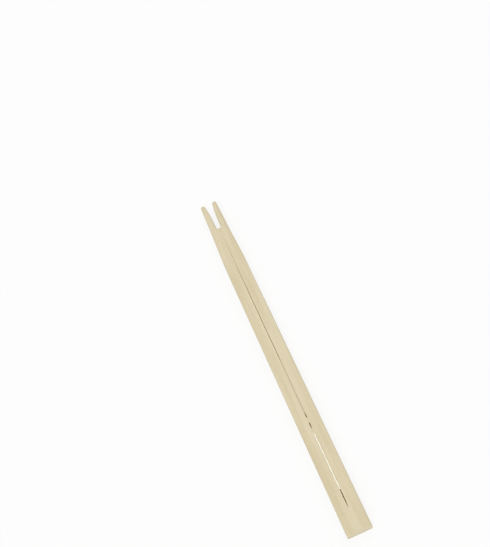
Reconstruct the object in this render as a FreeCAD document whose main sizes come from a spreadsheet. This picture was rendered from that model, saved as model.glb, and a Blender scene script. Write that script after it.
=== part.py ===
import FreeCAD, Part
import math
import os
import Sketcher

# A pair of bamboo chopsticks as sold, not yet pulled apart: one flat slat of bamboo.
# Its butt is whole. From there a thin saw cut runs along the middle to a short round-ended
# gap between the two tips, so that the user snaps the pair into two sticks.
# The pair lies on its flat underside. X runs across the pair, Y along it from the butt
# (-Y) to the tips (+Y), and Z up. The origin is on the underside, at mid length.
# All sizes are in millimetres.

PAIR = "chopstick_pair"

# Driving dimensions: name, value, what it is
DRIVING = (
    ("pair_length", 200.0, "from the butt to the tips"),
    ("pair_width", 12.0, "across both sticks, where they are not tapered"),
    ("thickness", 5.0, "of the slat, between its planed faces"),
    ("taper_length", 30.0, "of the curved shoulder that narrows each outer side"),
    ("taper_narrowing", 0.85, "by which the shoulder narrows each side"),
    ("tip_length", 20.0, "of the straight outer side between shoulder and tip"),
    ("tip_narrowing", 0.45, "by which that straight stretch narrows each side"),
    ("thinning_length", 60.0, "of the stretch where both faces curve towards the tips"),
    ("tip_thinning", 0.9, "by which each face has come in at the tips"),
    ("gap_width", 2.72, "of the gap between the tips, at its round end"),
    ("gap_straight", 3.9, "length of the gap's parallel stretch"),
    ("gap_flare_length", 14.0, "of the stretch where the gap widens"),
    ("gap_flare", 1.04, "by which the gap widens on each side"),
    ("uncut_butt", 11.0, "of the butt that the saw leaves whole, on the top face"),
    ("kerf_width", 0.48, "of the saw cut beside the butt"),
    ("kerf_straight", 15.0, "length of the cut at that full width, past the blade's centre"),
    ("kerf_closing", 14.0, "of the stretch where the sticks lean together"),
    ("closed_width", 0.2, "of the cut where the sticks lean together"),
    ("blade_diameter", 70.0, "of the saw, whose edge shapes the end of the cut"),
    ("blade_overcut", 1.2, "by which the blade passes below the underside"),
    ("long_edge_round", 0.9, "radius along the outer edges and the gap's edges"),
    ("tip_corner_round", 1.1, "radius of each tip's corners, seen from above"),
    ("butt_arris", 0.2, "bevel around the sawn butt"),
)

# Sizes that follow from the driving ones. The raw slat and the planer's sweep only have to be
# larger than the finished piece, and a radius is limited by the wood that it is cut in.
DERIVED = (
    ("half_length", "pair_length / 2"),
    ("half_width", "pair_width / 2"),
    ("half_thickness", "thickness / 2"),
    ("raw_thickness", "1.5 * thickness"),
    ("planer_depth", "half_thickness"),
    ("planer_reach", "half_length + half_thickness"),
    ("neck_half", "half_width - taper_narrowing"),
    ("tip_half", "neck_half - tip_narrowing"),
    ("tip_thickness", "thickness - 2 * tip_thinning"),
    ("gap_half", "gap_width / 2"),
    ("mouth_half", "gap_half + gap_flare"),
    ("root_centre", "half_length - gap_flare_length - gap_straight"),
    ("stick_tip_width", "tip_half - mouth_half"),
    ("kerf_half", "kerf_width / 2"),
    ("closed_half", "closed_width / 2"),
    ("blade_radius", "blade_diameter / 2"),
    ("blade_height", "blade_radius - half_thickness - blade_overcut"),
    ("blade_reach", "sqrt(blade_radius^2 - (blade_height - half_thickness)^2)"),
    ("blade_setback", "half_length - uncut_butt - blade_reach"),
    ("tip_corner", "min(tip_corner_round; 0.48 * stick_tip_width)"),
    ("edge_radius", "min(long_edge_round; 0.85 * tip_corner; 0.42 * tip_thickness)"),
)

# The sketch's own origin, as the constraints name it
ORIGIN = (-1, 1)

# Faces that meet at a smaller angle than this are one smooth surface
SHARP = math.radians(30)
NEAR = 1e-4


def make_sheet(doc):
    """The table of sizes: driving numbers first, then the formulas that follow from them."""
    sheet = doc.addObject("Spreadsheet::Sheet", "Dimensions")
    rows = [(name, f"{value}", note) for name, value, note in DRIVING]
    rows += [(name, f"={formula}", "follows from the rows above") for name, formula in DERIVED]
    for row, (name, content, note) in enumerate(rows, start=1):
        sheet.set(f"A{row}", name)
        sheet.set(f"B{row}", content)
        sheet.set(f"C{row}", note)
        sheet.setAlias(f"B{row}", name)
    doc.recompute()
    return sheet


def start_sketch(body, role, name):
    """An empty sketch on one of the body's own origin planes."""
    sketch = body.newObject("Sketcher::SketchObject", name)
    plane = next(item for item in body.Origin.OriginFeatures if item.Role == role)
    sketch.AttachmentSupport = (plane, [""])
    sketch.MapMode = "FlatFace"
    return sketch


def add_line(sketch, start, end):
    """A straight edge between two points of the sketch."""
    return sketch.addGeometry(Part.LineSegment(FreeCAD.Vector(*start), FreeCAD.Vector(*end)))


def add_arc(sketch, start, middle, end):
    """A round edge through three points of the sketch."""
    points = [FreeCAD.Vector(*place) for place in (start, middle, end)]
    return sketch.addGeometry(Part.Arc(*points))


def bend(start, end, sagitta):
    """The middle point of an arc that stands off its chord, to the right of start to end."""
    along = (end[0] - start[0], end[1] - start[1])
    chord = math.hypot(*along)
    middle = ((start[0] + end[0]) / 2, (start[1] + end[1]) / 2)
    return (middle[0] + along[1] / chord * sagitta, middle[1] - along[0] / chord * sagitta)


def join(sketch, first, second, smooth=False):
    """Joins two edges at the ends that lie nearest to each other, in a corner or smoothly."""
    pairs = [(a, b) for a in (1, 2) for b in (1, 2)]

    def distance(pair):
        return (sketch.getPoint(first, pair[0]) - sketch.getPoint(second, pair[1])).Length

    a, b = min(pairs, key=distance)
    kind = "Tangent" if smooth else "Coincident"
    sketch.addConstraint(Sketcher.Constraint(kind, first, a, second, b))


def end_near(sketch, edge, place):
    """The end of an edge that lies nearest to a place, as the constraints name it."""
    target = FreeCAD.Vector(*place)
    nearest = min((1, 2), key=lambda end: (sketch.getPoint(edge, end) - target).Length)
    return (edge, nearest)


def bind(sketch, kind, first, second, alias):
    """A distance from the first point to the second that follows the sheet."""
    value = float(sketch.Document.Dimensions.get(alias))
    index = sketch.addConstraint(Sketcher.Constraint(kind, *first, *second, value))
    sketch.setExpression(f"Constraints[{index}]", f"Dimensions.{alias}")


def bind_across(sketch, side, place, alias, kind="DistanceX"):
    """Holds a point at its distance from an axis, on the side that it belongs to."""
    ends = (ORIGIN, place) if side > 0 else (place, ORIGIN)
    bind(sketch, kind, *ends, alias)


def sketch_outline(body, size):
    """The slat seen from above: straight sides, a shoulder that turns in, a neck, two tips."""
    sketch = start_sketch(body, "XY_Plane", "slat_outline")
    wide, neck, tip = size["half_width"], size["neck_half"], size["tip_half"]
    butt_y, tip_y = -size["half_length"], size["half_length"]
    neck_y = tip_y - size["tip_length"]
    shoulder_y = neck_y - size["taper_length"]

    # Two equal arcs turn from the side's direction to a steeper one and back to the tip's
    mean_slope = (wide - neck) / size["taper_length"]
    tip_slope = (neck - tip) / size["tip_length"]
    steepest = mean_slope + math.sqrt((mean_slope - tip_slope / 2) ** 2 + tip_slope**2 / 4)
    radius = size["taper_length"] / (2 * steepest - tip_slope)
    turn_y = shoulder_y + radius * steepest
    turn = wide - radius * steepest**2 / 2
    shoulder_bulge = (turn_y - shoulder_y) ** 2 / (8 * radius)
    neck_bulge = (neck_y - turn_y) ** 2 / (8 * radius)

    butt_edge = add_line(sketch, (-wide, butt_y), (wide, butt_y))
    tip_edge = add_line(sketch, (-tip, tip_y), (tip, tip_y))
    for edge in (butt_edge, tip_edge):
        sketch.addConstraint(Sketcher.Constraint("Horizontal", edge))
    for side in (1, -1):
        corner = (side * wide, butt_y)
        shoulder_start = (side * wide, shoulder_y)
        turning = (side * turn, turn_y)
        neck_end = (side * neck, neck_y)
        tip_corner = (side * tip, tip_y)
        long_side = add_line(sketch, corner, shoulder_start)
        shoulder_middle = bend(shoulder_start, turning, side * shoulder_bulge)
        shoulder = add_arc(sketch, shoulder_start, shoulder_middle, turning)
        neck_middle = bend(turning, neck_end, -side * neck_bulge)
        neck_arc = add_arc(sketch, turning, neck_middle, neck_end)
        tip_side = add_line(sketch, neck_end, tip_corner)
        join(sketch, butt_edge, long_side)
        join(sketch, long_side, shoulder, smooth=True)
        join(sketch, shoulder, neck_arc, smooth=True)
        join(sketch, neck_arc, tip_side, smooth=True)
        join(sketch, tip_side, tip_edge)
        sketch.addConstraint(Sketcher.Constraint("Vertical", long_side))
        sketch.addConstraint(Sketcher.Constraint("Equal", shoulder, neck_arc))
        tip_place = end_near(sketch, tip_side, tip_corner)
        neck_place = end_near(sketch, tip_side, neck_end)
        bind_across(sketch, side, end_near(sketch, long_side, corner), "half_width")
        bind_across(sketch, side, neck_place, "neck_half")
        bind_across(sketch, side, tip_place, "tip_half")
        bind(sketch, "DistanceY", neck_place, tip_place, "tip_length")
        shoulder_place = end_near(sketch, long_side, shoulder_start)
        bind(sketch, "DistanceY", shoulder_place, neck_place, "taper_length")
    bind(sketch, "DistanceY", (butt_edge, 1), ORIGIN, "half_length")
    bind(sketch, "DistanceY", ORIGIN, (tip_edge, 1), "half_length")
    return sketch


def sketch_planing(body, size):
    """The two regions, seen from the side, that the planer removes above and below the slat."""
    sketch = start_sketch(body, "YZ_Plane", "planed_away")
    face_z = size["half_thickness"]
    reach, tips = size["planer_reach"], size["half_length"]
    thin_start = tips - size["thinning_length"]
    drop = size["tip_thinning"]
    radius = (size["thinning_length"] ** 2 + drop**2) / (2 * drop)
    bulge = size["thinning_length"] ** 2 / (8 * radius)
    for face in (1, -1):
        z = face * face_z
        thin_z = face * (face_z - drop)
        outer_z = face * (face_z + size["planer_depth"])
        butt_end, curve_start, curve_end = (-reach, z), (thin_start, z), (tips, thin_z)
        flat = add_line(sketch, butt_end, curve_start)
        curve_middle = bend(curve_start, curve_end, -face * bulge)
        curve = add_arc(sketch, curve_start, curve_middle, curve_end)
        run_off = add_line(sketch, curve_end, (reach, thin_z))
        tip_wall = add_line(sketch, (reach, thin_z), (reach, outer_z))
        outer = add_line(sketch, (reach, outer_z), (-reach, outer_z))
        butt_wall = add_line(sketch, (-reach, outer_z), butt_end)
        join(sketch, flat, curve, smooth=True)
        for first, second in (
            (curve, run_off),
            (run_off, tip_wall),
            (tip_wall, outer),
            (outer, butt_wall),
            (butt_wall, flat),
        ):
            join(sketch, first, second)
        for edge in (flat, run_off, outer):
            sketch.addConstraint(Sketcher.Constraint("Horizontal", edge))
        for edge in (tip_wall, butt_wall):
            sketch.addConstraint(Sketcher.Constraint("Vertical", edge))
        start_place = end_near(sketch, flat, curve_start)
        end_place = end_near(sketch, run_off, curve_end)
        outer_place = end_near(sketch, outer, (reach, outer_z))
        bind_across(sketch, face, start_place, "half_thickness", "DistanceY")
        bind(sketch, "DistanceX", start_place, end_place, "thinning_length")
        bind_across(sketch, 1, end_place, "half_length")
        inward = (end_place, start_place) if face > 0 else (start_place, end_place)
        bind(sketch, "DistanceY", *inward, "tip_thinning")
        outward = (start_place, outer_place) if face > 0 else (outer_place, start_place)
        bind(sketch, "DistanceY", *outward, "planer_depth")
        bind_across(sketch, 1, outer_place, "planer_reach")
        bind_across(sketch, -1, end_near(sketch, flat, butt_end), "planer_reach")
    return sketch


def sketch_gap(body, size):
    """The gap between the tips seen from above: a round end, straight walls, flared mouth."""
    sketch = start_sketch(body, "XY_Plane", "gap_outline")
    half, mouth = size["gap_half"], size["mouth_half"]
    root_y, tip_y = size["root_centre"], size["half_length"]
    flare_y = tip_y - size["gap_flare_length"]
    radius = (size["gap_flare_length"] ** 2 + size["gap_flare"] ** 2) / (2 * size["gap_flare"])
    bulge = size["gap_flare_length"] ** 2 / (8 * radius)
    root = add_arc(sketch, (-half, root_y), (0, root_y - half), (half, root_y))
    mouth_edge = add_line(sketch, (-mouth, tip_y), (mouth, tip_y))
    sketch.addConstraint(Sketcher.Constraint("Horizontal", mouth_edge))
    # The round end's centre, its point 3, is on the sketch's vertical axis, its edge -2
    sketch.addConstraint(Sketcher.Constraint("PointOnObject", root, 3, -2))
    for side in (1, -1):
        wall_start, flare_start = (side * half, root_y), (side * half, flare_y)
        mouth_corner = (side * mouth, tip_y)
        wall = add_line(sketch, wall_start, flare_start)
        flare_middle = bend(flare_start, mouth_corner, -side * bulge)
        flare = add_arc(sketch, flare_start, flare_middle, mouth_corner)
        join(sketch, root, wall, smooth=True)
        join(sketch, wall, flare, smooth=True)
        join(sketch, flare, mouth_edge)
        sketch.addConstraint(Sketcher.Constraint("Vertical", wall))
        wall_place = end_near(sketch, wall, wall_start)
        flare_place = end_near(sketch, wall, flare_start)
        mouth_place = end_near(sketch, mouth_edge, mouth_corner)
        bind_across(sketch, side, mouth_place, "mouth_half")
        bind(sketch, "DistanceY", wall_place, flare_place, "gap_straight")
    bind_across(sketch, side, wall_place, "gap_half")
    bind(sketch, "DistanceY", flare_place, mouth_place, "gap_flare_length")
    bind(sketch, "DistanceY", ORIGIN, mouth_place, "half_length")
    return sketch


def sketch_slit(body, size):
    """The saw cut seen from above: full width beside the butt, then closing to a hairline."""
    sketch = start_sketch(body, "XY_Plane", "slit_outline")
    wide, closed = size["kerf_half"], size["closed_half"]
    start_y = -size["blade_setback"]
    closing_y = start_y + size["kerf_straight"]
    closed_y = closing_y + size["kerf_closing"]
    end_y = size["root_centre"]
    start_edge = add_line(sketch, (-wide, start_y), (wide, start_y))
    end_edge = add_line(sketch, (-closed, end_y), (closed, end_y))
    for edge in (start_edge, end_edge):
        sketch.addConstraint(Sketcher.Constraint("Horizontal", edge))
    for side in (1, -1):
        corners = (
            (side * wide, start_y),
            (side * wide, closing_y),
            (side * closed, closed_y),
            (side * closed, end_y),
        )
        full, closing, hairline = (add_line(sketch, *pair) for pair in zip(corners, corners[1:]))
        for first, second in (
            (start_edge, full),
            (full, closing),
            (closing, hairline),
            (hairline, end_edge),
        ):
            join(sketch, first, second)
        for edge in (full, hairline):
            sketch.addConstraint(Sketcher.Constraint("Vertical", edge))
        places = [end_near(sketch, full, corners[0]), end_near(sketch, closing, corners[1])]
        places.append(end_near(sketch, closing, corners[2]))
        bind_across(sketch, side, places[0], "kerf_half")
        bind_across(sketch, side, places[2], "closed_half")
        bind(sketch, "DistanceY", places[0], places[1], "kerf_straight")
        bind(sketch, "DistanceY", places[1], places[2], "kerf_closing")
    bind(sketch, "DistanceY", (start_edge, 1), ORIGIN, "blade_setback")
    bind(sketch, "DistanceY", ORIGIN, (end_edge, 1), "root_centre")
    return sketch


def sketch_blade(body, size):
    """The saw's disc where it stops, seen from the side."""
    sketch = start_sketch(body, "YZ_Plane", "blade_disc")
    centre = FreeCAD.Vector(-size["blade_setback"], size["blade_height"])
    upward = FreeCAD.Vector(0, 0, 1)
    disc = sketch.addGeometry(Part.Circle(centre, upward, size["blade_radius"]))
    bind(sketch, "DistanceX", (disc, 3), ORIGIN, "blade_setback")
    bind(sketch, "DistanceY", ORIGIN, (disc, 3), "blade_height")
    radius = sketch.addConstraint(Sketcher.Constraint("Radius", disc, size["blade_radius"]))
    sketch.setExpression(f"Constraints[{radius}]", "Dimensions.blade_radius")
    return sketch


def add_pad(body, name, sketch, thickness_alias):
    """Bamboo on both sides of the sketch, to a total thickness from the sheet."""
    pad = body.newObject("PartDesign::Pad", name)
    pad.Profile = (sketch, [""])
    pad.SideType = "Symmetric"
    pad.setExpression("Length", f"Dimensions.{thickness_alias}")
    body.Document.recompute()
    return pad


def add_cut(body, name, sketch, width_alias=None):
    """Cuts a sketch out on both sides of its plane: right through, or to a total width."""
    before = body.Shape.Volume
    cut = body.newObject("PartDesign::Pocket", name)
    cut.Profile = (sketch, [""])
    cut.SideType = "Symmetric"
    if width_alias:
        cut.setExpression("Length", f"Dimensions.{width_alias}")
    else:
        cut.Type = "ThroughAll"
    body.Document.recompute()
    removed = before - body.Shape.Volume
    print(f"{name}: {removed:.3f} mm3 removed")
    if removed <= 0:
        raise RuntimeError(f"{name} removed nothing")
    return cut


def faces_turn(shape, edge):
    """The angle between the two faces that meet at an edge, at its middle."""
    middle = edge.valueAt((edge.FirstParameter + edge.LastParameter) / 2)
    normals = []
    for face in shape.ancestorsOfType(edge, Part.Face):
        normals.append(face.normalAt(*face.Surface.parameter(middle)))
    return normals[0].getAngle(normals[-1])


def is_upright(edge):
    """Whether an edge runs along Z."""
    ends = [vertex.Point for vertex in edge.Vertexes]
    return len(ends) == 2 and (ends[1] - ends[0]).cross(FreeCAD.Vector(0, 0, 1)).Length < NEAR


def lies_at(edge, y):
    """Whether a whole edge lies at one distance along the pair."""
    return abs(edge.BoundBox.YMin - y) < NEAR and abs(edge.BoundBox.YMax - y) < NEAR


def edge_names(shape, wanted):
    """The names, as a feature takes them, of the edges that pass a test."""
    return [f"Edge{i}" for i, edge in enumerate(shape.Edges, start=1) if wanted(edge)]


def dress(body, kind, name, wanted, alias):
    """Rounds or bevels the edges that pass a test, by a size from the sheet."""
    base = body.Tip
    names = edge_names(base.Shape, wanted)
    feature = body.newObject(f"PartDesign::{kind}", name)
    feature.Base = (base, names)
    feature.setExpression("Radius" if kind == "Fillet" else "Size", f"Dimensions.{alias}")
    body.Document.recompute()
    print(f"{name}: {len(names)} edges")
    return feature


def make_pair(doc):
    """The one piece of bamboo, planed, shaped, slit and eased."""
    size = {name: float(doc.Dimensions.get(name)) for name, *_ in DRIVING + DERIVED}
    tips, butt = size["half_length"], -size["half_length"]
    body = doc.addObject("PartDesign::Body", PAIR)
    body.Label = PAIR

    # The raw slat, sawn to its outline, is planed to thickness and thinned to the tips
    add_pad(body, "raw_slat", sketch_outline(body, size), "raw_thickness")
    add_cut(body, "planing", sketch_planing(body, size))

    # The gap frees the two tips, whose corners and long edges are then rounded
    add_cut(body, "tip_gap", sketch_gap(body, size))
    dress(body, "Fillet", "tip_corners", lambda e: is_upright(e) and lies_at(e, tips), "tip_corner")
    shaped = body.Tip.Shape
    dress(
        body,
        "Fillet",
        "long_edges",
        lambda e: not is_upright(e) and not lies_at(e, butt) and faces_turn(shaped, e) > SHARP,
        "edge_radius",
    )
    dress(body, "Chamfer", "butt_bevel", lambda e: lies_at(e, butt), "butt_arris")

    # The saw enters at the gap and stops short of the butt, where its disc leaves a ramp
    add_cut(body, "slit", sketch_slit(body, size))
    add_cut(body, "slit_ramp", sketch_blade(body, size), "kerf_width")

    # The sketches lie at mid thickness, and the underside rests at Z = 0
    body.Placement = FreeCAD.Placement(FreeCAD.Vector(0, 0, 0), FreeCAD.Rotation())
    body.setExpression("Placement.Base.z", "Dimensions.half_thickness")
    doc.recompute()
    return body


def check(doc, bodies):
    """Stops if any feature failed or any sub-part is not one sound solid."""
    for item in doc.Objects:
        if {"Invalid", "Error"} & set(item.State):
            raise RuntimeError(f"{item.Label} failed: {item.State}")
    for body in bodies:
        shape = body.Shape
        if shape.isNull() or not shape.isValid() or len(shape.Solids) != 1:
            raise RuntimeError(f"{body.Label} is not one sound solid")


def report(doc, body):
    """Prints what was built."""
    box = body.Shape.BoundBox
    sides = (box.XLength, box.YLength, box.ZLength)
    print(f"{body.Label}: box {sides[0]:.2f} x {sides[1]:.2f} x {sides[2]:.2f} mm")
    print(f"{body.Label}: lowest point Z = {box.ZMin:.4f} mm")
    print(f"{body.Label}: volume {body.Shape.Volume / 1000:.3f} cm3")
    for name in ("stick_tip_width", "tip_thickness", "tip_corner", "edge_radius", "blade_reach"):
        print(f"{name}: {float(doc.Dimensions.get(name)):.3f} mm")


def main():
    os.makedirs("parts", exist_ok=True)
    doc = FreeCAD.newDocument("joined_chopsticks")
    make_sheet(doc)
    pair = make_pair(doc)
    check(doc, [pair])
    pair.Shape.exportStep(f"parts/{PAIR}.step")
    report(doc, pair)


main()
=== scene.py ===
# %% [markdown]
# # A pair of bamboo chopsticks, still joined
# The real object is one flat slat of bamboo. It is planed, a short gap is milled between the two
# tips, and a thin saw cut runs from that gap almost to the butt, so that the user snaps it in two.
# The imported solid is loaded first, because everything after it has to sit where that solid sits.

# %% Load the frame
import math
from collections import namedtuple

import bmesh
import bpy
from mathutils import Matrix, Vector, noise


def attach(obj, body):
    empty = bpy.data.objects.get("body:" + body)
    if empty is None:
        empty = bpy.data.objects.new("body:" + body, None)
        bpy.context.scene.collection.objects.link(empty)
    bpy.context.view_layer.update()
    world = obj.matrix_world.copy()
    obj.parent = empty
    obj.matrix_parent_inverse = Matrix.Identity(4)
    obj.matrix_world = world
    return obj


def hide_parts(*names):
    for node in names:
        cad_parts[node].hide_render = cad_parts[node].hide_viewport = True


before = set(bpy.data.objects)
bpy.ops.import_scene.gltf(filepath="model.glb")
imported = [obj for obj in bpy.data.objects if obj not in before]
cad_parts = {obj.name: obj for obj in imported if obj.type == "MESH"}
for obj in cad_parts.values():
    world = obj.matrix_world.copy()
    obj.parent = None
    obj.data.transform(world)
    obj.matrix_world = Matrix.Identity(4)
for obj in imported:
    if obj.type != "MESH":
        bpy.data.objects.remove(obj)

MM = 0.001
scene = bpy.context.scene
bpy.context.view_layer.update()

# %% [markdown]
# ## The camera
# The photograph looks down along the pair from above its butt, with the picture turned so that the
# pair leans to the left. A camera can be placed by eye, or solved from points measured in the
# picture. It was solved here: the widths along the pair give the distance and the tilt, and the
# corners give the aim and the roll. The lens is long enough that little perspective is left.

# %% Place the camera
AIM = Vector((2.424, 47.298, 2.5)) * MM
DISTANCE = 442.48 * MM
AZIMUTH, ELEVATION, ROLL = (math.radians(angle) for angle in (-1.042, 55.913, -23.846))
LENS, SENSOR = 55.0, 36.0

to_camera = Vector((
    math.sin(AZIMUTH) * math.cos(ELEVATION),
    -math.cos(AZIMUTH) * math.cos(ELEVATION),
    math.sin(ELEVATION),
))
level_right = (-to_camera).cross(Vector((0, 0, 1))).normalized()
level_up = level_right.cross(-to_camera)
camera_right = level_right * math.cos(ROLL) + level_up * math.sin(ROLL)
camera_up = level_up * math.cos(ROLL) - level_right * math.sin(ROLL)

camera = bpy.data.objects.new("camera", bpy.data.cameras.new("camera"))
camera.data.lens, camera.data.sensor_width = LENS, SENSOR
camera.data.clip_start, camera.data.clip_end = 0.01, 20.0
turned = Matrix((camera_right, camera_up, to_camera)).transposed()
camera.matrix_world = Matrix.Translation(AIM + to_camera * DISTANCE) @ turned.to_4x4()
scene.collection.objects.link(camera)
scene.camera = camera
scene.view_settings.view_transform = "Standard"
print("camera at, mm:", [round(c / MM, 1) for c in camera.matrix_world.translation])

# %% [markdown]
# ## Small helpers for shader nodes
# A material is a tree of nodes. Writing each node with its settings and inputs in one call keeps
# the trees short enough to read. An input may get a plain value or the output of another node.

# %% Make and wire a node
def node(tree, kind, inputs=(), **settings):
    """A new node with its settings, and its inputs set to values or wired to outputs."""
    made = tree.nodes.new(kind)
    for name, value in settings.items():
        setattr(made, name, value)
    for key, value in dict(inputs).items():
        if isinstance(value, bpy.types.NodeSocket):
            tree.links.new(value, made.inputs[key])
        else:
            made.inputs[key].default_value = value
    return made


def maths(tree, operation, *values):
    """The result of a Math node."""
    return node(tree, "ShaderNodeMath", enumerate(values), operation=operation).outputs[0]


def vector_maths(tree, operation, *values):
    """The result of a Vector Math node: a number for LENGTH, and a vector for the others."""
    made = node(tree, "ShaderNodeVectorMath", enumerate(values), operation=operation)
    return made.outputs["Value" if operation == "LENGTH" else "Vector"]


def spread(tree, value, low, high, to_low=0.0, to_high=1.0):
    """A value from one range taken smoothly to another, and held at its ends."""
    inputs = {"Value": value, "From Min": low, "From Max": high,
              "To Min": to_low, "To Max": to_high}
    return node(tree, "ShaderNodeMapRange", inputs, interpolation_type="SMOOTHSTEP").outputs[0]


def tint(tree, amount, first, second):
    """A colour between two colours."""
    colours = {0: amount, 6: first, 7: second}
    return node(tree, "ShaderNodeMix", colours, data_type="RGBA").outputs[2]


def empty_tree(owner):
    """The node tree of a material or a world, cleared of what Blender puts into it."""
    owner.use_nodes = True
    owner.node_tree.nodes.clear()
    return owner.node_tree


# %% [markdown]
# ## Floor, background and light
# The picture's background is white. A floor that only reflects light would need so much of it that
# the pale bamboo clips. So for the camera the floor is mostly a plain white of strength 1, and for
# all other light it is an ordinary pale floor. Part of it still reflects, so the shadow stays.
# It is wholly plain in two places. One is far away. The other is a small oval under the open part
# of the cut, where the floor shows through. There it is painted light: the pair's shadow is taken
# out, so the floor seen through the cut glows full white, and its warm tint is painted light from
# the cut's walls.

# %% Lay the floor
FLOOR_SIZE = 8.0
FLOOR_CLEARANCE = 0.01 * MM
# The warm white is painted light: the glow of the cut's walls, shown in the oval under the cut
WHITE, PAINTED_BOUNCE_WHITE, MATT_WHITE = (1, 1, 1, 1), (1.0, 0.985, 0.86, 1), (0.93, 0.93, 0.93, 1)
# How much of the floor is plain near the pair, and from where to where the rest turns plain too
PLAIN_SHARE, PLAIN_FROM, PLAIN_TO = 0.82, 0.25, 1.2
# The painted-light oval under the cut, which takes the pair's shadow out there: its middle, its
# half sizes, and the part of it that has its full effect
OVAL_PLACE, OVAL_REACH = Vector((0.0, -63.0, 0.0)) * MM, Vector((3.0, 22.0, 1000.0)) * MM
OVAL_CORE = 0.8


def seen_plainly(tree):
    """1 for the rays that show the background itself: to the camera, in gloss and through glass."""
    rays = node(tree, "ShaderNodeLightPath").outputs
    seen = maths(tree, "MAXIMUM", rays["Is Camera Ray"], rays["Is Glossy Ray"])
    return maths(tree, "MAXIMUM", seen, rays["Is Transmission Ray"])


bpy.ops.mesh.primitive_plane_add(size=FLOOR_SIZE, location=(0, 0, -FLOOR_CLEARANCE))
floor = bpy.context.object
floor.name = "floor"
floor_finish = bpy.data.materials.new("pale floor")
tree = empty_tree(floor_finish)
place = node(tree, "ShaderNodeTexCoord").outputs["Object"]
away = vector_maths(tree, "LENGTH", place)
off = vector_maths(tree, "DIVIDE", vector_maths(tree, "SUBTRACT", place, OVAL_PLACE), OVAL_REACH)
# Painted light: under the open cut the floor turns fully plain white, and the pair's shadow there
# is gone
painted_glow_oval = spread(tree, vector_maths(tree, "LENGTH", off), OVAL_CORE, 1.0, 1.0, 0.0)
plain = maths(tree, "MAXIMUM", spread(tree, away, PLAIN_FROM, PLAIN_TO, PLAIN_SHARE, 1.0), painted_glow_oval)
share = maths(tree, "MULTIPLY", seen_plainly(tree), plain)
matt = node(tree, "ShaderNodeBsdfDiffuse", {"Color": MATT_WHITE})
# Painted bounce light: the oval is tinted warm, as if lit by the walls of the cut
colour = tint(tree, painted_glow_oval, WHITE, PAINTED_BOUNCE_WHITE)
glow = node(tree, "ShaderNodeEmission", {"Color": colour, "Strength": 1.0})
mixed = node(tree, "ShaderNodeMixShader", {0: share, 1: matt.outputs[0], 2: glow.outputs[0]})
node(tree, "ShaderNodeOutputMaterial", {"Surface": mixed.outputs[0]})
floor.data.materials.append(floor_finish)
print("floor laid", FLOOR_CLEARANCE / MM, "mm below the pair")

# %% [markdown]
# Catalogue pictures of small goods are lit by big soft boxes. One large lamp stands above and to
# the left, a weaker one to the right, and a pale surrounding light fills the rest. Both are far
# enough away to light the pair evenly from end to end. The strengths are set so that a surface
# that faces up shows about the colour that its material is given.

# %% Hang the lamps
SURROUND = 0.60


def soft_box(name, place, size, power):
    """A square lamp that faces the middle of the pair."""
    lamp = bpy.data.objects.new(name, bpy.data.lights.new(name, "AREA"))
    lamp.data.size, lamp.data.energy = size, power
    lamp.location = place
    lamp.rotation_mode = "QUATERNION"
    lamp.rotation_quaternion = Vector(place).to_track_quat("Z", "Y")
    scene.collection.objects.link(lamp)


soft_box("key lamp", place=(-0.90, -1.40, 2.00), size=1.80, power=26.1)
soft_box("fill lamp", place=(1.10, 1.50, 1.70), size=1.60, power=12.8)

scene.world = bpy.data.worlds.new("studio")
tree = empty_tree(scene.world)
strength = spread(tree, seen_plainly(tree), 0.0, 1.0, SURROUND, 1.0)
sky = node(tree, "ShaderNodeBackground", {"Color": WHITE, "Strength": strength})
node(tree, "ShaderNodeOutputWorld", {"Surface": sky.outputs[0]})

# %% [markdown]
# ## The shape in numbers
# The fine mesh has to lie where the solid lies, so it is worked out from the same sizes. Seen from
# above, the slat has straight sides, a shoulder of two equal arcs, and a nearly straight neck. Both
# faces curve in towards the tips. Each of these is a small function of the place along the pair.

# %% Sizes of the slat, in millimetres
PAIR = "chopstick_pair"
BUTT_Y, TIP_Y = -100.0, 100.0
THICKNESS = 5.0
HALF_WIDTH, NECK_HALF, TIP_HALF = 6.0, 5.15, 4.7
TAPER_LENGTH, TIP_LENGTH = 30.0, 20.0
THINNING_LENGTH, TIP_THINNING = 60.0, 0.9
EDGE_ROUND, TIP_CORNER, BUTT_ARRIS = 0.9, 1.1, 0.2

NECK_Y = TIP_Y - TIP_LENGTH
SHOULDER_Y = NECK_Y - TAPER_LENGTH
# The shoulder's two arcs have one radius, and the second ends along the neck's straight side
MEAN_SLOPE = (HALF_WIDTH - NECK_HALF) / TAPER_LENGTH
TIP_SLOPE = (NECK_HALF - TIP_HALF) / TIP_LENGTH
STEEPEST = MEAN_SLOPE + math.sqrt((MEAN_SLOPE - TIP_SLOPE / 2) ** 2 + TIP_SLOPE**2 / 4)
BEND_RADIUS = TAPER_LENGTH / (2 * STEEPEST - TIP_SLOPE)
TURN_Y = SHOULDER_Y + BEND_RADIUS * STEEPEST


def outer_half(y):
    """Half the pair's width."""
    if y <= SHOULDER_Y:
        return HALF_WIDTH
    if y <= TURN_Y:
        return HALF_WIDTH - (y - SHOULDER_Y) ** 2 / (2 * BEND_RADIUS)
    if y <= NECK_Y:
        return NECK_HALF + TIP_SLOPE * (NECK_Y - y) + (NECK_Y - y) ** 2 / (2 * BEND_RADIUS)
    return NECK_HALF - TIP_SLOPE * (y - NECK_Y)


def face_drop(y):
    """How far each broad face has come in."""
    radius = (THINNING_LENGTH**2 + TIP_THINNING**2) / (2 * TIP_THINNING)
    run = max(0.0, y - (TIP_Y - THINNING_LENGTH))
    return radius - math.sqrt(radius**2 - run**2)


for y in (0.0, 65.0, 80.0, 100.0):
    print(f"y {y:6.1f}: half width {outer_half(y):.3f}, each face in by {face_drop(y):.3f} mm")

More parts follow.
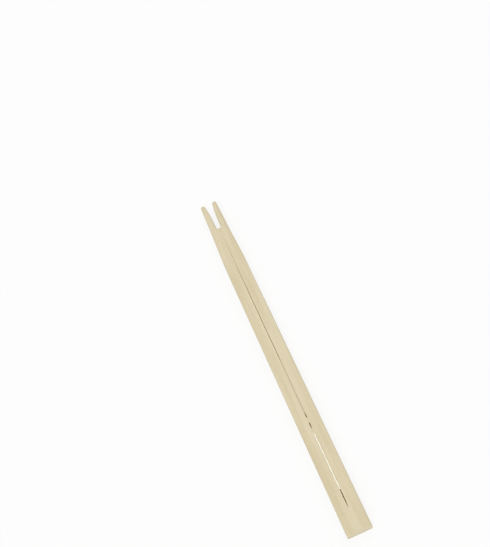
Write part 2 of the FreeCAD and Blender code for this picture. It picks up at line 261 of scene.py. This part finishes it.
# %% [markdown]
# ## The gap and the saw cut
# The gap between the tips ends in a round root and flares towards its mouth. The saw enters there
# and runs towards the butt. Its blade is a disc, so the cut ends in a long ramp, which shows as a
# dark dash. Next the cut is open right through, and then the two sticks lean together until only
# a hairline is left, with two short places where a splinter has come out of the top face.

# %% Sizes of the gap and the cut, in millimetres
GAP_HALF, GAP_FLARE, FLARE_LENGTH = 1.36, 1.04, 14.0
ROOT_Y = 82.1
FLARE_Y = TIP_Y - FLARE_LENGTH
FLARE_RADIUS = (FLARE_LENGTH**2 + GAP_FLARE**2) / (2 * GAP_FLARE)
BLADE_RADIUS, BLADE_Y, BLADE_Z = 35.0, -69.111, 33.8
CUT_START_Y, CUT_THROUGH_Y = -89.0, -78.354

# Half the cut's width where it is open, and where its walls all but touch
HALF_KERF, TOUCHING = 0.28, 0.006
# The same on the top face, at places along the pair
CUT_WIDTHS = (
    (CUT_START_Y, 0.03), (-87.6, 0.08), (-85.6, 0.15), (-83.4, 0.17), (-81.0, 0.13),
    (-79.4, 0.17), (-77.0, HALF_KERF), (-57.0, HALF_KERF), (-53.0, 0.26), (-51.6, 0.20),
    (-50.8, TOUCHING), (-49.3, TOUCHING), (-48.2, 0.09), (-46.8, 0.22), (-46.2, 0.23),
    (-45.7, 0.15), (-45.2, TOUCHING), (-42.9, TOUCHING), (-42.3, 0.15), (-41.8, 0.21),
    (-41.2, 0.19), (-40.2, 0.09), (-39.0, 0.05), (-13.0, 0.05), (-6.0, 0.085),
    (2.0, 0.10), (26.0, 0.10), (36.0, 0.09), (42.0, 0.07), (48.0, 0.055), (53.0, 0.04),
    (60.0, 0.03), (66.0, 0.02), (74.0, TOUCHING), (ROOT_Y, TOUCHING),
)
# The open stretch ends between these two places, further along the deeper it is
OPEN_UNTIL_Y, SHUT_FROM_Y = -51.8, -50.9
CLOSING_SLANT = 0.67
# Depth at which the leaning sticks touch: deeper under the two places that have splintered
CLOSING_DEPTHS = ((-50.0, 4.4), (-40.6, 4.4), (-39.5, 2.4))
# Below 1, the walls close in quickly under the top face and slowly further down
CLOSING_CURVE = 0.7
# Half the width that is left below the top edge, round the end of the open stretch
WIDTHS_BELOW = ((-50.0, 0.27), (-48.5, 0.15), (-45.2, 0.15), (-45.0, 0.0))


def gap_half(y):
    """Half the gap's width beyond its round root."""
    return GAP_HALF + max(0.0, y - FLARE_Y) ** 2 / (2 * FLARE_RADIUS)


def between(table, y):
    """A smooth reading from a table of places and values."""
    for (y_0, value_0), (y_1, value_1) in zip(table, table[1:]):
        if y <= y_1:
            t = max(0.0, (y - y_0) / (y_1 - y_0))
            return value_0 + (value_1 - value_0) * t * t * (3 - 2 * t)
    return table[-1][1]


def cut_half(y, depth):
    """Half the cut's width. Where the sticks lean together, their walls touch lower down."""
    top = between(CUT_WIDTHS, y)
    shut = between(((OPEN_UNTIL_Y, 0.0), (SHUT_FROM_Y, 1.0)), y - depth * CLOSING_SLANT)
    open_below = max(top, between(WIDTHS_BELOW, y))
    lower = min(1.0, depth / between(CLOSING_DEPTHS, y)) ** CLOSING_CURVE
    lifted = top + (open_below - top) * min(1.0, depth)
    return lifted + (min(top, TOUCHING) - lifted) * lower * shut


def cut_floor(y):
    """Height of the cut's ramp, from the top face down to the underside."""
    lift = BLADE_Z - math.sqrt(BLADE_RADIUS**2 - (y - BLADE_Y) ** 2)
    return min(THICKNESS, max(0.0, lift))


print("ramp from", round(cut_floor(CUT_START_Y), 3), "to", round(cut_floor(CUT_THROUGH_Y), 3))

# %% [markdown]
# ## Stations
# The mesh is laid out as one stick, and the other stick is its mirror image. A station joins a
# place on the outer edge to a place on the inner edge, and the points between them lie on the
# stick's broad faces. Cuts straight across would give slivers where the gap's root curves, so there
# the stations fan out, and at the tip both edges turn round its corners until they meet.

# %% Find places on the edges
Edge = namedtuple("Edge", "x y nx ny")
SLOPE_STEP = 0.05


def wall_edge(half, y, side):
    """A place on a long wall. side is 1 for the outer wall and -1 for the wall by the gap."""
    slope = (half(y + SLOPE_STEP) - half(y - SLOPE_STEP)) / (2 * SLOPE_STEP)
    length = math.hypot(1, slope)
    return Edge(half(y), y, side / length, -side * slope / length)


def corner_edge(centre, angle, radius):
    """A place on a round corner."""
    turn = (math.cos(angle), math.sin(angle))
    return Edge(centre[0] + radius * turn[0], centre[1] + radius * turn[1], *turn)


def cut_edge(y):
    """A place on the saw cut's top edge."""
    return Edge(between(CUT_WIDTHS, y), y, -1.0, 0.0)


print("outer edge at mid length:", wall_edge(outer_half, 0.0, 1))

# %% Lay out the stations
Station = namedtuple("Station", "outer inner in_gap")
APPROACH_Y, APPROACH_END_Y, APPROACH_SHARE = 76.0, 78.7, 0.12
# Stretches of the cut: start, end, and how far apart the stations are
STRETCHES = (
    (-99.0, CUT_START_Y, 1.4),
    (CUT_START_Y, CUT_THROUGH_Y, 0.42),
    (CUT_THROUGH_Y, -58.0, 0.8),
    (-58.0, -51.6, 0.4),
    (-51.6, -40.0, 0.16),
    (-40.0, -38.0, 0.4),
    (-38.0, APPROACH_Y, 1.0),
)
FAN_OUTER_Y, FAN_INNER_Y = 78.9, ROOT_Y - GAP_HALF - EDGE_ROUND
ROOT_ANGLE, ROOT_STEPS = math.radians(0.25), 16


def steps(start, end, spacing):
    """Even places from start up to, but not with, end."""
    count = max(1, round((end - start) / spacing))
    return [start + (end - start) * i / count for i in range(count)]


def mix(a, b, t):
    """A value the share t of the way from a to b."""
    return a + (b - a) * t


stations = []
for y in [BUTT_Y, BUTT_Y + BUTT_ARRIS] + [y for stretch in STRETCHES for y in steps(*stretch)]:
    stations.append(Station(wall_edge(outer_half, y, 1), cut_edge(y), False))
for t in steps(0.0, 1.0, APPROACH_SHARE) + [1.0]:
    outer = wall_edge(outer_half, mix(APPROACH_Y, APPROACH_END_Y, t), 1)
    stations.append(Station(outer, cut_edge(mix(APPROACH_Y, FAN_INNER_Y, t)), False))
for step in range(ROOT_STEPS + 1):
    t = step / ROOT_STEPS
    angle = mix(ROOT_ANGLE, math.pi / 2, t)
    inner = Edge(GAP_HALF * math.sin(angle), ROOT_Y - GAP_HALF * math.cos(angle),
                 -math.sin(angle), math.cos(angle))
    outer = wall_edge(outer_half, mix(FAN_OUTER_Y, ROOT_Y, t), 1)
    stations.append(Station(outer, inner, True))
print(len(stations), "stations from the butt to the gap's root")

# %% [markdown]
# The tip's corners are arcs that touch the walls and the end. Their centres follow from that: each
# lies one corner radius away from its wall and from the end. Beyond the last station only a narrow
# flat end is left between the two corners.

# %% Carry the stations round the tip
TIP_SHARE, CORNER_STEPS = 0.025, 8

corner_y = TIP_Y - TIP_CORNER
outer_wall = wall_edge(outer_half, corner_y, 1)
inner_wall = wall_edge(gap_half, corner_y, -1)
outer_centre = (outer_wall.x - TIP_CORNER / outer_wall.nx, corner_y)
inner_centre = (inner_wall.x - TIP_CORNER / inner_wall.nx, corner_y)
outer_angle = math.atan2(outer_wall.ny, outer_wall.nx)
inner_angle = math.atan2(inner_wall.ny, inner_wall.nx)
outer_end_y = corner_y + TIP_CORNER * math.sin(outer_angle)
inner_end_y = corner_y + TIP_CORNER * math.sin(inner_angle)

for t in steps(0.0, 1.0, TIP_SHARE)[1:]:
    outer = wall_edge(outer_half, mix(ROOT_Y, outer_end_y, t), 1)
    stations.append(Station(outer, wall_edge(gap_half, mix(ROOT_Y, inner_end_y, t), -1), True))
for step in range(CORNER_STEPS + 1):
    t = step / CORNER_STEPS
    outer = corner_edge(outer_centre, mix(outer_angle, math.pi / 2, t), TIP_CORNER)
    inner = corner_edge(inner_centre, mix(inner_angle, math.pi / 2, t), TIP_CORNER)
    stations.append(Station(outer, inner, True))
print(len(stations), "stations in all, flat end", round(outer_centre[0] - inner_centre[0], 3), "mm")

# %% [markdown]
# ## Profiles
# At each station the wood is met by two profiles that run from the top face over the edge, down
# the wall and under the lower edge. The outer edges and the gap's edges are round. The saw cut's
# edges have a narrow arris, and along the ramp the cut's wall ends on it.

# %% Draw the profiles
ROUND_STEPS, WALL_STEPS = 6, 6
PROFILE_STEPS = 2 * ROUND_STEPS + WALL_STEPS
CUT_ARRIS, ARRIS_FADE = 0.13, 0.05


def rounded_profile(edge, radius):
    """Points from the flat top to the flat underside, over two round edges."""
    curve = []
    for step in range(ROUND_STEPS + 1):
        turn = math.pi / 2 * step / ROUND_STEPS
        inset, drop = radius * (1 - math.sin(turn)), radius * (1 - math.cos(turn))
        curve.append((edge.x - edge.nx * inset, edge.y - edge.ny * inset, drop))
    upper = [(x, y, THICKNESS - face_drop(y) - drop) for x, y, drop in curve]
    lower = [(x, y, face_drop(y) + drop) for x, y, drop in reversed(curve)]
    walls = [mix(upper[-1][2], lower[0][2], i / WALL_STEPS) for i in range(1, WALL_STEPS)]
    return upper + [(edge.x, edge.y, z) for z in walls] + lower


def cut_profile(y):
    """Points down one wall of the saw cut, from the top face to its floor or the underside."""
    top = THICKNESS - face_drop(y)
    bottom = cut_floor(y) if y < CUT_THROUGH_Y else face_drop(y)
    depth = max(0.0, top - bottom)
    wide = cut_half(y, 0.0)
    arris = min(CUT_ARRIS * wide / (wide + ARRIS_FADE), depth / 2)
    if depth == 0:
        return [(wide, y, top)] * (PROFILE_STEPS + 1)
    depths = [mix(arris, depth, step / (PROFILE_STEPS - 1)) for step in range(PROFILE_STEPS)]
    return [(wide + arris, y, top)] + [(cut_half(y, d), y, top - d) for d in depths]


def inner_profile(station):
    """The profile by the gap or by the cut, whichever the station ends at."""
    if station.in_gap:
        return rounded_profile(station.inner, EDGE_ROUND)
    return cut_profile(station.inner.y)


outer_profiles = [rounded_profile(s.outer, EDGE_ROUND) for s in stations]
inner_profiles = [inner_profile(s) for s in stations]
print("points on a profile:", len(outer_profiles[0]), len(inner_profiles[0]))

# %% [markdown]
# The butt is sawn off square and its edges are only broken. So its first profile is drawn in by
# the arris on every side, and the second profile, one arris further on, has the full size.

# %% Break the butt's edges
def drawn_in(profile, amount):
    """A profile moved towards the middle of the wood by an amount."""
    points = []
    for index, (x, y, z) in enumerate(profile):
        before, after = profile[max(0, index - 1)], profile[min(len(profile) - 1, index + 1)]
        along = Vector((after[0] - before[0], after[2] - before[2])).normalized()
        if index in (0, len(profile) - 1):
            along = Vector((1.0 if index == 0 else -1.0, 0.0))
        points.append((x + along.y * amount, y, z - along.x * amount))
    return points


outer_profiles[0] = drawn_in(outer_profiles[0], BUTT_ARRIS)
inner_profiles[0] = [(x, y, z - BUTT_ARRIS) for x, y, z in inner_profiles[0]]
print("butt wall at x", round(outer_profiles[0][PROFILE_STEPS // 2][0], 3))

# %% [markdown]
# ## Building the mesh
# Every part of the skin is a grid of points: the two broad faces, the outer walls, the walls of the
# gap and the cut, the ramp, the butt and the tip's end. Neighbouring grids share their border
# points exactly, so welding them afterwards closes the skin. This is quicker and cleaner than
# cutting shapes out of a block with booleans, which leave long thin triangles along the cut.

# %% Fill the grids
FACE_STEPS = 20
PLANED, SAWN = 0, 1
shape = bmesh.new()


def lay_grid(rows, finish):
    """Faces between rows of points, on both sticks."""
    for side in (1, -1):
        verts = [[shape.verts.new((side * x * MM, y * MM, z * MM)) for x, y, z in row]
                 for row in rows]
        for row_a, row_b in zip(verts, verts[1:]):
            for a, b, c, d in zip(row_a, row_a[1:], row_b[1:], row_b):
                face = shape.faces.new((a, b, c, d) if side > 0 else (d, c, b, a))
                face.material_index = finish
                face.smooth = True


def across(inner, outer, top):
    """A row of points over a broad face, from the inner edge to the outer edge."""
    row = []
    for step in range(FACE_STEPS + 1):
        x, y = (mix(inner[i], outer[i], step / FACE_STEPS) for i in (0, 1))
        row.append((x, y, THICKNESS - face_drop(y) if top else face_drop(y)))
    row[0], row[-1] = inner, outer
    return row


def underside_start(index):
    """The inner end of the lower face: the cut's lower edge, or below its ramp."""
    x, y, z = inner_profiles[index][-1]
    return (x, y, BUTT_ARRIS if index == 0 else z if y >= CUT_THROUGH_Y else 0.0)


top_rows = [across(i[0], o[0], True) for i, o in zip(inner_profiles, outer_profiles)]
low_rows = [across(underside_start(i), o[-1], False) for i, o in enumerate(outer_profiles)]
top_rows[0] = [(x, y, THICKNESS - BUTT_ARRIS) for x, y, _ in top_rows[0]]
low_rows[0] = [(x, y, BUTT_ARRIS) for x, y, _ in low_rows[0]]
lay_grid(top_rows, PLANED)
lay_grid(low_rows, PLANED)
lay_grid(outer_profiles, PLANED)
cut_count = sum(1 for s in stations if not s.in_gap)
lay_grid(inner_profiles[:cut_count + 1], SAWN)
lay_grid(inner_profiles[cut_count:], PLANED)
print(len(shape.faces), "faces before the ends are closed")

# %% [markdown]
# What is left open is the middle of the butt, with the ramp of the cut on its top side, and the two
# ends. The butt's end is a grid whose rows follow the outer profile, and the tip's end is one whose
# columns each run down a profile of their own.

# %% Close the middle and the ends
SAME_PLACE, WELD, SLIVER = 1e-6, 0.001 * MM, 0.0005 * MM

in_butt = [i for i, s in enumerate(stations) if s.inner.y <= CUT_THROUGH_Y + SAME_PLACE]
above = [inner_profiles[i][-1] for i in in_butt]
below = [underside_start(i) for i in in_butt]
whole = sum(1 for i in in_butt if stations[i].inner.y <= CUT_START_Y + SAME_PLACE)
middle_rows = [[(0.0, y, z), (x, y, z)] for x, y, z in above]
lay_grid(middle_rows[:whole], PLANED)
lay_grid(middle_rows[whole - 1:], SAWN)
lay_grid([[(0.0, y, z), (x, y, z)] for x, y, z in below], PLANED)

widths = [0.0] + [point[0] for point in top_rows[0]]
end_rows = [[(x * edge_x / widths[-1], BUTT_Y, z) for x in widths]
            for edge_x, _, z in outer_profiles[0]]
lay_grid(end_rows, SAWN)

last = stations[-1]
tip_columns = []
for step in range(FACE_STEPS + 1):
    x = mix(last.inner.x, last.outer.x, step / FACE_STEPS)
    tip_columns.append(rounded_profile(Edge(x, TIP_Y, 0.0, 1.0), EDGE_ROUND))
lay_grid(tip_columns, PLANED)

bmesh.ops.remove_doubles(shape, verts=shape.verts, dist=WELD)
bmesh.ops.dissolve_degenerate(shape, edges=shape.edges, dist=SLIVER)
bmesh.ops.recalc_face_normals(shape, faces=shape.faces)
open_edges = sum(1 for edge in shape.edges if not edge.is_manifold)
print(len(shape.faces), "faces,", open_edges, "open edges, volume",
      round(shape.calc_volume() / MM**3 / 1000, 3), "cm3")

# %% [markdown]
# ## Wood is never quite straight
# A planed slat is a little uneven: its faces are wavy by hundredths of a millimetre, and the saw
# cut wanders with the fibres and frays. A Displace modifier would do this for a whole surface. Here
# each point is moved by smooth noise instead, by an amount of its own for the faces, the sides and
# the cut. The outer faces only ever move inwards, so the pair keeps its outer size.

# %% Loosen the shape
# An amount comes first, then the length of its waves along the pair, then their size across it.
# FRAY and UNEVEN are shares of the cut's half width, and all the rest is in millimetres.
FRAY, FRAY_LENGTH, FRAY_DEPTH = 0.30, 0.8, 1.5
UNEVEN, UNEVEN_LENGTH = 0.40, 2.2
WANDER, WANDER_LENGTH = 0.06, 17.0
SWAY, SWAY_LENGTH, SWAY_DEPTH = 0.03, 3.0, 6.0
SIDE_WAVE, SIDE_LENGTH = 0.05, 22.0
FACE_WAVE, FACE_LENGTH, FACE_WIDTH = 0.02, 16.0, 2.5
# The wander fades out this far beside the cut, and it grows over this length from the cut's start
BESIDE_CUT, GROWS_OVER = 2.5, 4.0
SHARP_ANGLE = math.radians(38)


def wave(x, y, z):
    """Smooth noise from 0 to 1."""
    return 0.5 + 0.5 * max(-1.0, min(1.0, noise.noise(Vector((x, y, z)))))


# The plain numbers given to wave() only pick another part of the noise for each of its uses
for vert in shape.verts:
    x, y, z = (c / MM for c in vert.co)
    side = 1.0 if x > 0 else -1.0
    near_cut = max(0.0, 1.0 - abs(x) / BESIDE_CUT)
    if y > CUT_START_Y and abs(x) < HALF_KERF + CUT_ARRIS and y < ROOT_Y - GAP_HALF:
        frayed = FRAY * (wave(side * 7.3, y / FRAY_LENGTH, z / FRAY_DEPTH) - 0.5)
        x *= 1.0 + frayed + UNEVEN * (wave(side * 3.7, y / UNEVEN_LENGTH, 0.5) - 0.5)
    if y > CUT_START_Y:
        near_cut *= min(1.0, (y - CUT_START_Y) / GROWS_OVER)
        x += WANDER * near_cut * (2 * wave(3.1, y / WANDER_LENGTH, 0.0) - 1)
        x += SWAY * near_cut * (2 * wave(9.7, y / SWAY_LENGTH, z / SWAY_DEPTH) - 1)
    x -= x / HALF_WIDTH * SIDE_WAVE * wave(side * 20.0, y / SIDE_LENGTH, 1.7)
    level, face = 2 * z / THICKNESS - 1, 5.0 if z > THICKNESS / 2 else 11.0
    z -= level * FACE_WAVE * wave(x / FACE_WIDTH, y / FACE_LENGTH, face)
    vert.co = (x * MM, y * MM, z * MM)

mesh = bpy.data.meshes.new("joined pair")
shape.to_mesh(mesh)
shape.free()
mesh.set_sharp_from_angle(angle=SHARP_ANGLE)
pair = bpy.data.objects.new("joined_pair", mesh)
scene.collection.objects.link(pair)
mesh.calc_loop_triangles()
print(len(mesh.loop_triangles), "triangles")

# %% [markdown]
# ## What bamboo looks like
# Bamboo has no rings and no rays. It is a soft pale ground with stiff bundles of fibres that all
# run along the stem. On a planed face they show as long faint streaks, and on a cut end as small
# brown dots. A solid texture gives both: bundles are spots in the cross section, drawn out along
# the length. One node group holds this, and both finishes below use it.

# %% Helpers for groups and stretched noise
NUMBER, VECTOR = "NodeSocketFloat", "NodeSocketVector"


def new_group(name, inputs, outputs):
    """An empty shader node group with named sockets."""
    group = bpy.data.node_groups.new(name, "ShaderNodeTree")
    for label, kind, value in inputs:
        socket = group.interface.new_socket(label, in_out="INPUT", socket_type=kind)
        if value is not None:
            socket.default_value = value
    for label, kind in outputs:
        group.interface.new_socket(label, in_out="OUTPUT", socket_type=kind)
    return group, node(group, "NodeGroupInput").outputs, node(group, "NodeGroupOutput").inputs


def stretched(tree, place, across_mm, along_mm, shift=0.0):
    """The place counted in units of a width across the fibres and a length along them."""
    per_width = maths(tree, "DIVIDE", 1.0 / MM, across_mm)
    per_length = maths(tree, "DIVIDE", 1.0 / MM, along_mm)
    scale = node(tree, "ShaderNodeCombineXYZ", {0: per_width, 1: per_length, 2: per_width})
    counted = vector_maths(tree, "MULTIPLY", place, scale.outputs[0])
    return vector_maths(tree, "ADD", counted, (shift,) * 3)


def cloud_noise(tree, vector, detail=2.0, roughness=0.5):
    """Soft noise, about 0 to 1."""
    inputs = {"Vector": vector, "Scale": 1.0, "Detail": detail, "Roughness": roughness}
    return node(tree, "ShaderNodeTexNoise", inputs).outputs["Fac"]


# %% Group: fibre bundles
# Each width and length is in millimetres. Each shift picks another part of the noise.
NOISE_LOW, NOISE_HIGH = 0.30, 0.70
STREAK_DETAIL, STREAK_ROUGHNESS = 3.0, 0.6
CLOUD_WIDTH, CLOUD_LENGTH, CLOUD_SHIFT = 4.0, 55.0, 5.6
BEND_WIDTH, BEND_LENGTH, BEND_SHIFT, BEND_DETAIL, BEND = 40.0, 18.0, 5.0, 1.0, 1.2
FADE_WIDTH, FADE_LENGTH, FADE_SHIFT, FADE_LOW, FADE_HIGH = 1.2, 14.0, 77.0, 0.40, 0.62
# A bundle's dark core and pale rim, as shares of the spacing, and how unevenly the bundles stand
CORE, RIM, SCATTER = 0.16, 0.34, 0.85
# The bundles are finer towards the stem's skin, which was at the top face
FINENESS_BELOW, FINENESS_ABOVE = 0.85, 1.45

fibres, given, result = new_group(
    "fibre bundles",
    (("Place", VECTOR, None), ("Streak Width", NUMBER, 0.3), ("Streak Length", NUMBER, 30.0),
     ("Bundle Spacing", NUMBER, 0.9)),
    (("Streaks", NUMBER), ("Bundles", NUMBER), ("Clouds", NUMBER)),
)
place = given["Place"]
drawn_out = stretched(fibres, place, given["Streak Width"], given["Streak Length"])
fine = cloud_noise(fibres, drawn_out, STREAK_DETAIL, STREAK_ROUGHNESS)
fibres.links.new(spread(fibres, fine, NOISE_LOW, NOISE_HIGH), result["Streaks"])
broad = cloud_noise(fibres, stretched(fibres, place, CLOUD_WIDTH, CLOUD_LENGTH, CLOUD_SHIFT))
fibres.links.new(spread(fibres, broad, NOISE_LOW, NOISE_HIGH), result["Clouds"])

bend = cloud_noise(fibres, stretched(fibres, place, BEND_WIDTH, BEND_LENGTH, BEND_SHIFT),
                   BEND_DETAIL)
drift = maths(fibres, "MULTIPLY", maths(fibres, "SUBTRACT", bend, 0.5), BEND * MM)
parts = node(fibres, "ShaderNodeSeparateXYZ", {0: place}).outputs
in_section = node(fibres, "ShaderNodeCombineXYZ", {
    0: maths(fibres, "ADD", parts["X"], drift), 1: parts["Z"], 2: 0.0}).outputs[0]
per_spacing = maths(fibres, "DIVIDE", 1.0 / MM, given["Bundle Spacing"])
spots = node(fibres, "ShaderNodeTexVoronoi",
             {"Vector": in_section, "Scale": per_spacing, "Randomness": SCATTER},
             voronoi_dimensions="2D").outputs["Distance"]
fineness = spread(fibres, parts["Z"], 0.0, THICKNESS * MM, FINENESS_BELOW, FINENESS_ABOVE)
core = spread(fibres, maths(fibres, "MULTIPLY", spots, fineness), CORE, RIM, 1.0, 0.0)
patches = cloud_noise(fibres, stretched(fibres, place, FADE_WIDTH, FADE_LENGTH, FADE_SHIFT))
shown = maths(fibres, "MULTIPLY", core, spread(fibres, patches, FADE_LOW, FADE_HIGH))
fibres.links.new(shown, result["Bundles"])
print("group:", fibres.name, "with", len(fibres.nodes), "nodes")

# %% [markdown]
# The saw leaves fine scratches on the walls of its cut and on the butt. They are short, uneven
# lines, all in the direction in which the teeth moved. The planer leaves almost none, so a second
# group puts them out as a mask, and each finish decides how much of it to use.

# %% Group: tool marks
MARK_LOW, MARK_HIGH, MARK_DETAIL, MARK_ROUGHNESS = 0.35, 0.65, 2.0, 0.6

marks, given, result = new_group(
    "tool marks",
    (("Place", VECTOR, None), ("Spacing", NUMBER, 0.2), ("Run", NUMBER, 4.0)),
    (("Marks", NUMBER),),
)
per_run = maths(marks, "DIVIDE", 1.0 / MM, given["Run"])
per_space = maths(marks, "DIVIDE", 1.0 / MM, given["Spacing"])
scale = node(marks, "ShaderNodeCombineXYZ", {0: per_run, 1: per_run, 2: per_space})
counted = vector_maths(marks, "MULTIPLY", given["Place"], scale.outputs[0])
scratches = cloud_noise(marks, counted, MARK_DETAIL, MARK_ROUGHNESS)
marks.links.new(spread(marks, scratches, MARK_LOW, MARK_HIGH), result["Marks"])
print("group:", marks.name, "with", len(marks.nodes), "nodes")

# %% [markdown]
# ## The planed finish
# The planed faces are pale and even, with a soft satin gloss. The colour is the picture's: streaks
# and clouds only shift it by a few percent, and each bundle is a little browner. Where the surface
# turns to cut across the fibres, at the tips, the same bundles are cut open and show darker.

# %% Helpers for the two finishes
# The fibre bundles' colour in both
BROWN = (0.400, 0.275, 0.130, 1)
# How far a surface has to face along the fibres to show them cut across, from not at all to fully
END_FROM, END_TO = 0.45, 0.90
BUMP_STRENGTH, WOOD_IOR = 0.5, 1.45


def start_material(name):
    """A material with its own tree, and the piece's own coordinates."""
    material = bpy.data.materials.new(name)
    tree = empty_tree(material)
    return material, tree, node(tree, "ShaderNodeTexCoord").outputs["Object"]


def use_group(tree, group, **inputs):
    """The outputs of a group that is placed in a tree with its own values."""
    made = node(tree, "ShaderNodeGroup", node_tree=group)
    for name, value in inputs.items():
        socket = made.inputs[name.replace("_", " ")]
        if isinstance(value, bpy.types.NodeSocket):
            tree.links.new(value, socket)
        else:
            socket.default_value = value
    return made.outputs


def end_grain(tree):
    """1 where the surface cuts across the fibres, and 0 where it runs along them."""
    normal = node(tree, "ShaderNodeNewGeometry").outputs["Normal"]
    along = node(tree, "ShaderNodeSeparateXYZ", {0: normal}).outputs["Y"]
    return spread(tree, maths(tree, "ABSOLUTE", along), END_FROM, END_TO)


def weighed(tree, first, second, share):
    """Two masks in one, with the share of the first."""
    return maths(tree, "ADD", maths(tree, "MULTIPLY", first, share),
                 maths(tree, "MULTIPLY", second, 1.0 - share))


def veined(tree, ground, bundles, ends, along, across):
    """A ground colour with the bundles in brown, more so where they are cut across."""
    strength = spread(tree, ends, 0.0, 1.0, along, across)
    return tint(tree, maths(tree, "MULTIPLY", bundles, strength), ground, BROWN)


def close_material(tree, colour, rough, height, depth):
    """The surface itself, with its bump, wired to the material's output."""
    bump = node(tree, "ShaderNodeBump",
                {"Height": height, "Strength": BUMP_STRENGTH, "Distance": depth})
    surface = node(tree, "ShaderNodeBsdfPrincipled", {
        "Base Color": colour, "Roughness": rough, "Normal": bump.outputs[0], "IOR": WOOD_IOR})
    node(tree, "ShaderNodeOutputMaterial", {"Surface": surface.outputs[0]})


# %% Material: planed bamboo
PALE, TAN = (0.750, 0.668, 0.466, 1), (0.650, 0.558, 0.358, 1)
STREAK_SHARE = 0.45
VEIN_ALONG, VEIN_ACROSS = 0.20, 0.65
SATIN, DULL = 0.46, 0.58
BUNDLE_GROOVE, PLANED_DEPTH = -0.8, 0.012 * MM

planed, tree, place = start_material("planed bamboo")
grain = use_group(tree, fibres, Place=place, Streak_Width=0.28, Streak_Length=34.0,
                  Bundle_Spacing=0.85)
tone = weighed(tree, grain["Streaks"], grain["Clouds"], STREAK_SHARE)
wood = veined(tree, tint(tree, tone, PALE, TAN), grain["Bundles"], end_grain(tree),
              VEIN_ALONG, VEIN_ACROSS)
rough = spread(tree, tone, 0.0, 1.0, SATIN, DULL)
groove = maths(tree, "MULTIPLY", grain["Bundles"], BUNDLE_GROOVE)
close_material(tree, wood, rough, maths(tree, "ADD", grain["Streaks"], groove), PLANED_DEPTH)
print("material:", planed.name, "with", len(tree.nodes), "nodes")

# %% [markdown]
# ## The sawn finish
# Inside the cut and on the butt the wood is rough and matt. In the cut it is a little browner,
# because the saw tears the fibres and warms them. The butt shows the bundles end on, as small brown
# dots, on a
# ground painted paler than the faces: partly end grain, partly painted light for an end the lamps
# light less.

# %% Material: sawn bamboo
WALL_PALE, WALL_BROWN = (0.74, 0.54, 0.27, 1), (0.64, 0.44, 0.19, 1)
# The butt's ground is painted paler than the faces: partly end grain, partly painted light for the
# end face
BUTT_PALE_PAINTED_LIGHT, BUTT_TAN_PAINTED_LIGHT = (0.76, 0.69, 0.50, 1), (0.70, 0.62, 0.44, 1)
SAWN_STREAK_SHARE = 0.5
WALL_VEIN, BUTT_VEIN = 0.25, 0.40
MATT, ROUGHEST = 0.72, 0.88
SAWN_GROOVE, SAWN_DEPTH = -0.6, 0.02 * MM

sawn, tree, place = start_material("sawn bamboo")
grain = use_group(tree, fibres, Place=place, Streak_Width=0.22, Streak_Length=9.0,
                  Bundle_Spacing=0.85)
scratched = use_group(tree, marks, Place=place, Spacing=0.16, Run=5.0)["Marks"]
tone = weighed(tree, grain["Streaks"], scratched, SAWN_STREAK_SHARE)
ends = end_grain(tree)
# On the butt the ground turns to its paler colours, which hold painted light for the end face
ground = tint(tree, ends, tint(tree, tone, WALL_PALE, WALL_BROWN),
              tint(tree, tone, BUTT_PALE_PAINTED_LIGHT, BUTT_TAN_PAINTED_LIGHT))
wood = veined(tree, ground, grain["Bundles"], ends, WALL_VEIN, BUTT_VEIN)
rough = spread(tree, tone, 0.0, 1.0, MATT, ROUGHEST)
groove = maths(tree, "MULTIPLY", grain["Bundles"], SAWN_GROOVE)
close_material(tree, wood, rough, maths(tree, "ADD", scratched, groove), SAWN_DEPTH)
print("material:", sawn.name, "with", len(tree.nodes), "nodes")

# %% [markdown]
# ## Hand the piece to the frame
# The mesh stands for the imported node, which stays hidden for collisions. It rides on the one body
# there is and takes the planed and the sawn finish made above.

# %% Finish
for material in (planed, sawn):
    pair.data.materials.append(material)
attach(pair, "root")
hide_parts(PAIR)
